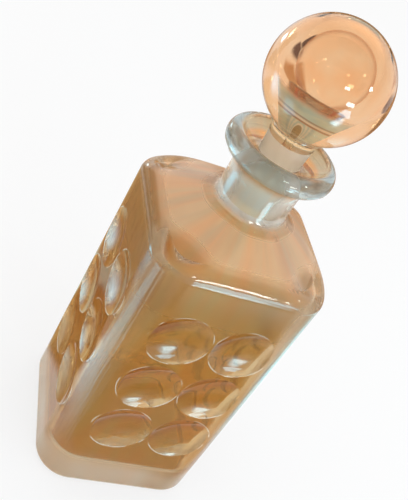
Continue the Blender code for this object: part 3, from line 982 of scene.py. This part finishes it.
def shoulder_sections(inset, end):
    """Sections from the straight sides to a round ring, end = (radius, height), outside or inside."""
    sections = []
    corner = BODY_CORNER_RADIUS - inset
    radius = SHOULDER_EDGE_RADIUS - inset
    centre = BODY_SIDE / 2 - SHOULDER_EDGE_RADIUS
    for ring in range(EDGE_RINGS + 1):
        share = ring / EDGE_RINGS
        angle = SHOULDER_EDGE_SWEEP * share
        half = centre + radius * math.cos(angle)
        z = SIDE_HEIGHT + radius * math.sin(angle)
        drawn_in = share ** 2
        sections.append(body_section(half, corner, EDGE_ROUND_SHARE * drawn_in, z, CORNER_DROOP * drawn_in))
    start = (half, z)
    middle = ((start[0] + end[0]) / 2, (start[1] + end[1]) / 2 + SHOULDER_BULGE)
    for ring in range(1, SLOPE_RINGS + 1):
        t = ring / SLOPE_RINGS
        half, z = ((1 - t) ** 2 * start[k] + 2 * t * (1 - t) * middle[k] + t ** 2 * end[k] for k in (0, 1))
        share = EDGE_ROUND_SHARE + (1 - EDGE_ROUND_SHARE) * t
        sections.append(body_section(half, corner * half / start[0], share, z, CORNER_DROOP * (1 - t)))
    return sections


# %% [markdown]
# ## Neck, lip, dish and bore
# All of this is round, so it is a list of (radius, height) rings: a small hollow fillet, the
# neck, the trumpet-like flare, the rolled bead, the shallow dish, and the ground bore, which
# follows the plug's taper.

# %% Rings of the neck
FILLET_RINGS = 8
FLARE_RINGS = 20
FLARE_REACH = 0.95
FLARE_END_DROP = 0.7
BEAD_RINGS = 24
BEAD_START = -0.25
DISH_EDGE_RINGS = 8
DISH_EDGE_SWEEP = math.pi / 3
DISH_RINGS = 16
DISH_POWER = 1.5
BORE_RINGS = 8


def plug_radius(z):
    """The plug's radius at a height while the stopper is seated."""
    return PLUG_TOP_RADIUS - (PLUG_TOP_Z - z) * PLUG_TAPER


def neck_rings():
    """(radius, height) rings from the neck's foot, over the lip, to the bore's lower end."""
    rings = [(NECK_FOOT_RADIUS, NECK_FOOT_Z)]
    for step in range(1, FILLET_RINGS + 1):
        angle = math.pi / 2 * step / FILLET_RINGS
        rings.append((
            NECK_RADIUS + (NECK_FOOT_RADIUS - NECK_RADIUS) * (1 - math.sin(angle)),
            NECK_FOOT_Z + NECK_FOOT_FILLET * (1 - math.cos(angle)),
        ))
    bead_z = LIP_TOP_Z - BEAD_HALF_HEIGHT
    flare_end_z = bead_z - BEAD_HALF_HEIGHT * FLARE_END_DROP
    for step in range(FLARE_RINGS - 1):
        angle = math.pi / 2 * step / FLARE_RINGS
        rings.append((
            NECK_RADIUS + (LIP_RADIUS - NECK_RADIUS) * FLARE_REACH * (1 - math.cos(angle)),
            FLARE_START_Z + (flare_end_z - FLARE_START_Z) * math.sin(angle),
        ))
    for step in range(BEAD_RINGS + 1):
        angle = math.pi / 2 * (BEAD_START + (1 - BEAD_START) * step / BEAD_RINGS)
        rings.append((
            LIP_RADIUS - BEAD_HALF_WIDTH * (1 - math.cos(angle)),
            bead_z + BEAD_HALF_HEIGHT * math.sin(angle),
        ))
    crest_r = LIP_RADIUS - BEAD_HALF_WIDTH
    for step in range(1, DISH_EDGE_RINGS + 1):
        angle = DISH_EDGE_SWEEP * step / DISH_EDGE_RINGS
        rings.append((
            crest_r - (crest_r - DISH_RADIUS) * math.sin(angle) / math.sin(DISH_EDGE_SWEEP),
            LIP_TOP_Z - DISH_EDGE_DROP * (1 - math.cos(angle)) / (1 - math.cos(DISH_EDGE_SWEEP)),
        ))
    bore_r = plug_radius(BORE_TOP_Z) + PLUG_CLEARANCE
    edge_z = LIP_TOP_Z - DISH_EDGE_DROP
    for step in range(1, DISH_RINGS + 1):
        share = 1 - step / DISH_RINGS
        rings.append((
            bore_r + (DISH_RADIUS - bore_r) * share,
            BORE_TOP_Z + (edge_z - BORE_TOP_Z) * share ** DISH_POWER,
        ))
    for step in range(1, BORE_RINGS + 1):
        z = BORE_TOP_Z + (BORE_BOTTOM_Z - BORE_TOP_Z) * step / BORE_RINGS
        rings.append((plug_radius(z) + PLUG_CLEARANCE, z))
    return rings


# %% [markdown]
# ## Pulling up the bottle
# The bottle starts as a filled circle that is pushed onto the square outline of its base.
# It is pulled up over the shoulder, turned over the lip, sunk down the bore, widened under
# the shoulder and carried down to the floor of the cavity, whose face closes the skin.

# %% Bottle shell
BASE_EDGE_RINGS = 8
FLOOR_EDGE_RINGS = 14
SMOOTH_ANGLE = math.radians(20)


def pull_sections(piece, sections):
    """Extrudes the selected face once for each section and sets its corners there."""
    for points in sections:
        bpy.ops.mesh.extrude_region_move()
        place_ring(piece, points)


bottle = start_circle("cut_glass_bottle", RING_POINTS, half_side(0), 0)
base_sections = []
for ring in range(BASE_EDGE_RINGS + 1):
    angle = math.pi / 2 * ring / BASE_EDGE_RINGS
    inset = BASE_EDGE_RADIUS * (1 - math.sin(angle))
    z = BASE_EDGE_RADIUS * (1 - math.cos(angle))
    base_sections.append(body_section(half_side(z) - inset, BODY_CORNER_RADIUS - inset, 0, z, 0))
place_ring(bottle, base_sections[0])
pull_sections(bottle, base_sections[1:])
pull_sections(bottle, shoulder_sections(0, (NECK_FOOT_RADIUS, NECK_FOOT_Z)))
pull_rings(neck_rings())
throat_end = (plug_radius(BORE_BOTTOM_Z) + PLUG_CLEARANCE + WALL / 2, BORE_BOTTOM_Z - WALL / 2)
pull_sections(bottle, reversed(shoulder_sections(WALL, throat_end)))
floor_sections = []
inner_corner = BODY_CORNER_RADIUS - WALL
for ring in range(FLOOR_EDGE_RINGS + 1):
    angle = math.pi / 2 * ring / FLOOR_EDGE_RINGS
    inset = FLOOR_EDGE_RADIUS * (1 - math.cos(angle))
    z = BASE_THICKNESS + FLOOR_EDGE_RADIUS * (1 - math.sin(angle))
    floor_sections.append(body_section(half_side(z) - WALL - inset, inner_corner - inset, 0, z, 0))
pull_sections(bottle, floor_sections)
finish_piece(bottle, SMOOTH_ANGLE)
print("bottle shell", len(bottle.data.vertices), "corners")

# %% [markdown]
# ## Lens cuts
# Each side carries three rows of two round hollows, ground in with a wheel. The wheel's
# mark is part of a sphere, so the cutter is a drum with a spherical end. One is modelled,
# the rest are copies turned to their sides, and a Boolean takes them all away at once.

# %% Lens cutters
LENS_DEPTH = 0.0035
LENS_POINTS = 96
LENS_RINGS = 14
RIM_RADIUS = 0.0015
RIM_RINGS = 6
RIM_START = math.radians(4)
CUTTER_OVERRUN = 0.003

lens_sphere = (LENS_RADIUS ** 2 + LENS_DEPTH ** 2) / (2 * LENS_DEPTH)
lens_sweep = math.acos(
    (lens_sphere - LENS_DEPTH + RIM_RADIUS * math.cos(RIM_START)) / (lens_sphere + RIM_RADIUS))
rim_reach = (lens_sphere + RIM_RADIUS) * math.sin(lens_sweep)
lens_profile = [(rim_reach - RIM_RADIUS * math.sin(RIM_START), CUTTER_OVERRUN)]
for ring in range(RIM_RINGS):
    angle = RIM_START + (lens_sweep - RIM_START) * ring / RIM_RINGS
    lens_profile.append((rim_reach - RIM_RADIUS * math.sin(angle),
                         RIM_RADIUS * (math.cos(angle) - math.cos(RIM_START))))
for ring in range(LENS_RINGS):
    angle = lens_sweep * (1 - ring / LENS_RINGS)
    lens_profile.append((lens_sphere * math.sin(angle),
                         lens_sphere - LENS_DEPTH - lens_sphere * math.cos(angle)))
first_cutter = start_circle("lens_cutter", LENS_POINTS, lens_profile[0][0], CUTTER_OVERRUN)
pull_rings(lens_profile)
bpy.ops.mesh.extrude_region_move(
    TRANSFORM_OT_translate={"value": (0, 0, -LENS_DEPTH - lens_profile[-1][1])})
close_to_point()
finish_piece(first_cutter, SMOOTH_ANGLE)

cutters = bpy.data.collections.new("cutters")
bpy.context.scene.collection.children.link(cutters)
lean = math.atan(BODY_TAPER / 2 / SIDE_HEIGHT)
for side in range(4):
    turn = side * math.pi / 2
    for row in range(LENS_ROWS):
        z = LENS_FIRST_ROW_Z + row * LENS_ROW_PITCH
        for column in (-0.5, 0.5):
            cutter = first_cutter.copy()
            cutters.objects.link(cutter)
            offset = column * LENS_COLUMN_PITCH
            spot = Matrix.Rotation(turn, 4, "Z") @ Vector((offset, -half_side(z), z))
            turned = Euler((math.pi / 2 + lean, 0, turn), "XYZ").to_matrix().to_4x4()
            cutter.matrix_world = Matrix.Translation(spot) @ turned
bpy.data.objects.remove(first_cutter)

# %% Cut the lenses
CUT_SMOOTH_ANGLE = math.radians(9)
FLAT_FACE_WEIGHT = 90

bpy.ops.object.select_all(action="DESELECT")
bpy.context.view_layer.objects.active = bottle
bottle.select_set(True)
cut = bottle.modifiers.new("lens_cuts", "BOOLEAN")
cut.operation = "DIFFERENCE"
cut.solver = "MANIFOLD"
cut.operand_type = "COLLECTION"
cut.collection = cutters
bpy.ops.object.modifier_apply(modifier=cut.name)
for cutter in list(cutters.objects):
    bpy.data.objects.remove(cutter)
bpy.data.collections.remove(cutters)
bpy.ops.object.shade_smooth_by_angle(angle=CUT_SMOOTH_ANGLE)
weigh = bottle.modifiers.new("flat_sides_stay_flat", "WEIGHTED_NORMAL")
weigh.keep_sharp = True
weigh.weight = FLAT_FACE_WEIGHT
bpy.ops.object.modifier_apply(modifier=weigh.name)
print("cut bottle", len(bottle.data.polygons), "faces")

bottle.data.materials.clear()
bottle.data.materials.append(bottle_glass)
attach(bottle, "bottle")
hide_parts("decanter_bottle")

# %% [markdown]
# ## The stopper
# The ball is a sphere cut off where the collar joins it. From the cut the face is pulled
# down over the collar and the ground plug, turned in at the plug's end and pushed back up:
# first a narrow channel, then a funnel, then the round bubble inside the ball.

# %% Rings of the stopper
BALL_POINTS = 128
BALL_RING_COUNT = 96
BUBBLE_RADIUS = 0.0168
BUBBLE_RAISE = 0.0035
CHANNEL_RADIUS = 0.0015
FUNNEL_LENGTH = 0.024
FUNNEL_POWER = 1.4
FUNNEL_RINGS = 24
BUBBLE_START = -math.radians(22)
BUBBLE_RINGS = 40
PLUG_RINGS = 8
PLUG_EDGE = 0.0006
COLLAR_RINGS = (
    (0.0133, 0.2119), (0.0131, 0.2116), (0.01315, 0.2112), (0.0131, 0.2108),
    (0.0127, 0.2103), (0.0120, 0.2096), (0.0115, 0.2088), (0.01115, 0.2079),
    (0.0110, 0.2070), (0.0110, 0.2065), (0.01115, 0.2061), (0.01115, 0.2057),
)

stopper_rings = [(JOIN_RADIUS, JOIN_Z), *COLLAR_RINGS]
for step in range(PLUG_RINGS + 1):
    z = PLUG_TOP_Z + (PLUG_BOTTOM_Z + PLUG_EDGE - PLUG_TOP_Z) * step / PLUG_RINGS
    stopper_rings.append((plug_radius(z), z))
stopper_rings.append((plug_radius(PLUG_BOTTOM_Z) - PLUG_EDGE, PLUG_BOTTOM_Z))
stopper_rings.append((CHANNEL_RADIUS, PLUG_BOTTOM_Z))
bubble_z = BALL_CENTRE_Z + BUBBLE_RAISE
funnel_top = (BUBBLE_RADIUS * math.cos(BUBBLE_START), bubble_z + BUBBLE_RADIUS * math.sin(BUBBLE_START))
for step in range(FUNNEL_RINGS):
    share = step / FUNNEL_RINGS
    stopper_rings.append((
        CHANNEL_RADIUS + (funnel_top[0] - CHANNEL_RADIUS) * share ** FUNNEL_POWER,
        funnel_top[1] - FUNNEL_LENGTH * (1 - share),
    ))
for step in range(BUBBLE_RINGS):
    angle = BUBBLE_START + (math.pi / 2 - BUBBLE_START) * step / BUBBLE_RINGS
    stopper_rings.append((BUBBLE_RADIUS * math.cos(angle), bubble_z + BUBBLE_RADIUS * math.sin(angle)))
print("stopper rings", len(stopper_rings))

# %% Stopper
STOPPER_SMOOTH_ANGLE = math.radians(30)

bpy.ops.object.select_all(action="DESELECT")
bpy.ops.mesh.primitive_uv_sphere_add(
    segments=BALL_POINTS, ring_count=BALL_RING_COUNT, radius=BALL_RADIUS, location=(0, 0, 0))
stopper = bpy.context.object
stopper.name = "hollow_ball_stopper"
stopper.data.name = stopper.name
bpy.ops.object.mode_set(mode="EDIT")
bpy.ops.mesh.select_all(action="SELECT")
bpy.ops.transform.translate(value=(0, 0, BALL_CENTRE_Z))
bpy.ops.mesh.bisect(plane_co=(0, 0, JOIN_Z), plane_no=(0, 0, 1), clear_inner=True, use_fill=True)
pull_rings(stopper_rings)
bpy.ops.mesh.extrude_region_move(
    TRANSFORM_OT_translate={"value": (0, 0, bubble_z + BUBBLE_RADIUS - stopper_rings[-1][1])})
close_to_point()
finish_piece(stopper, STOPPER_SMOOTH_ANGLE)
print("stopper", len(stopper.data.polygons), "faces")

stopper.data.materials.clear()
stopper.data.materials.append(stopper_glass)
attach(stopper, "stopper")
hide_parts("ball_stopper")

# %% [markdown]
# ## Finish
# The view transform is Standard, so a colour is shown as it is written.

# %% Finish
import json

bpy.context.scene.view_settings.view_transform = "Standard"
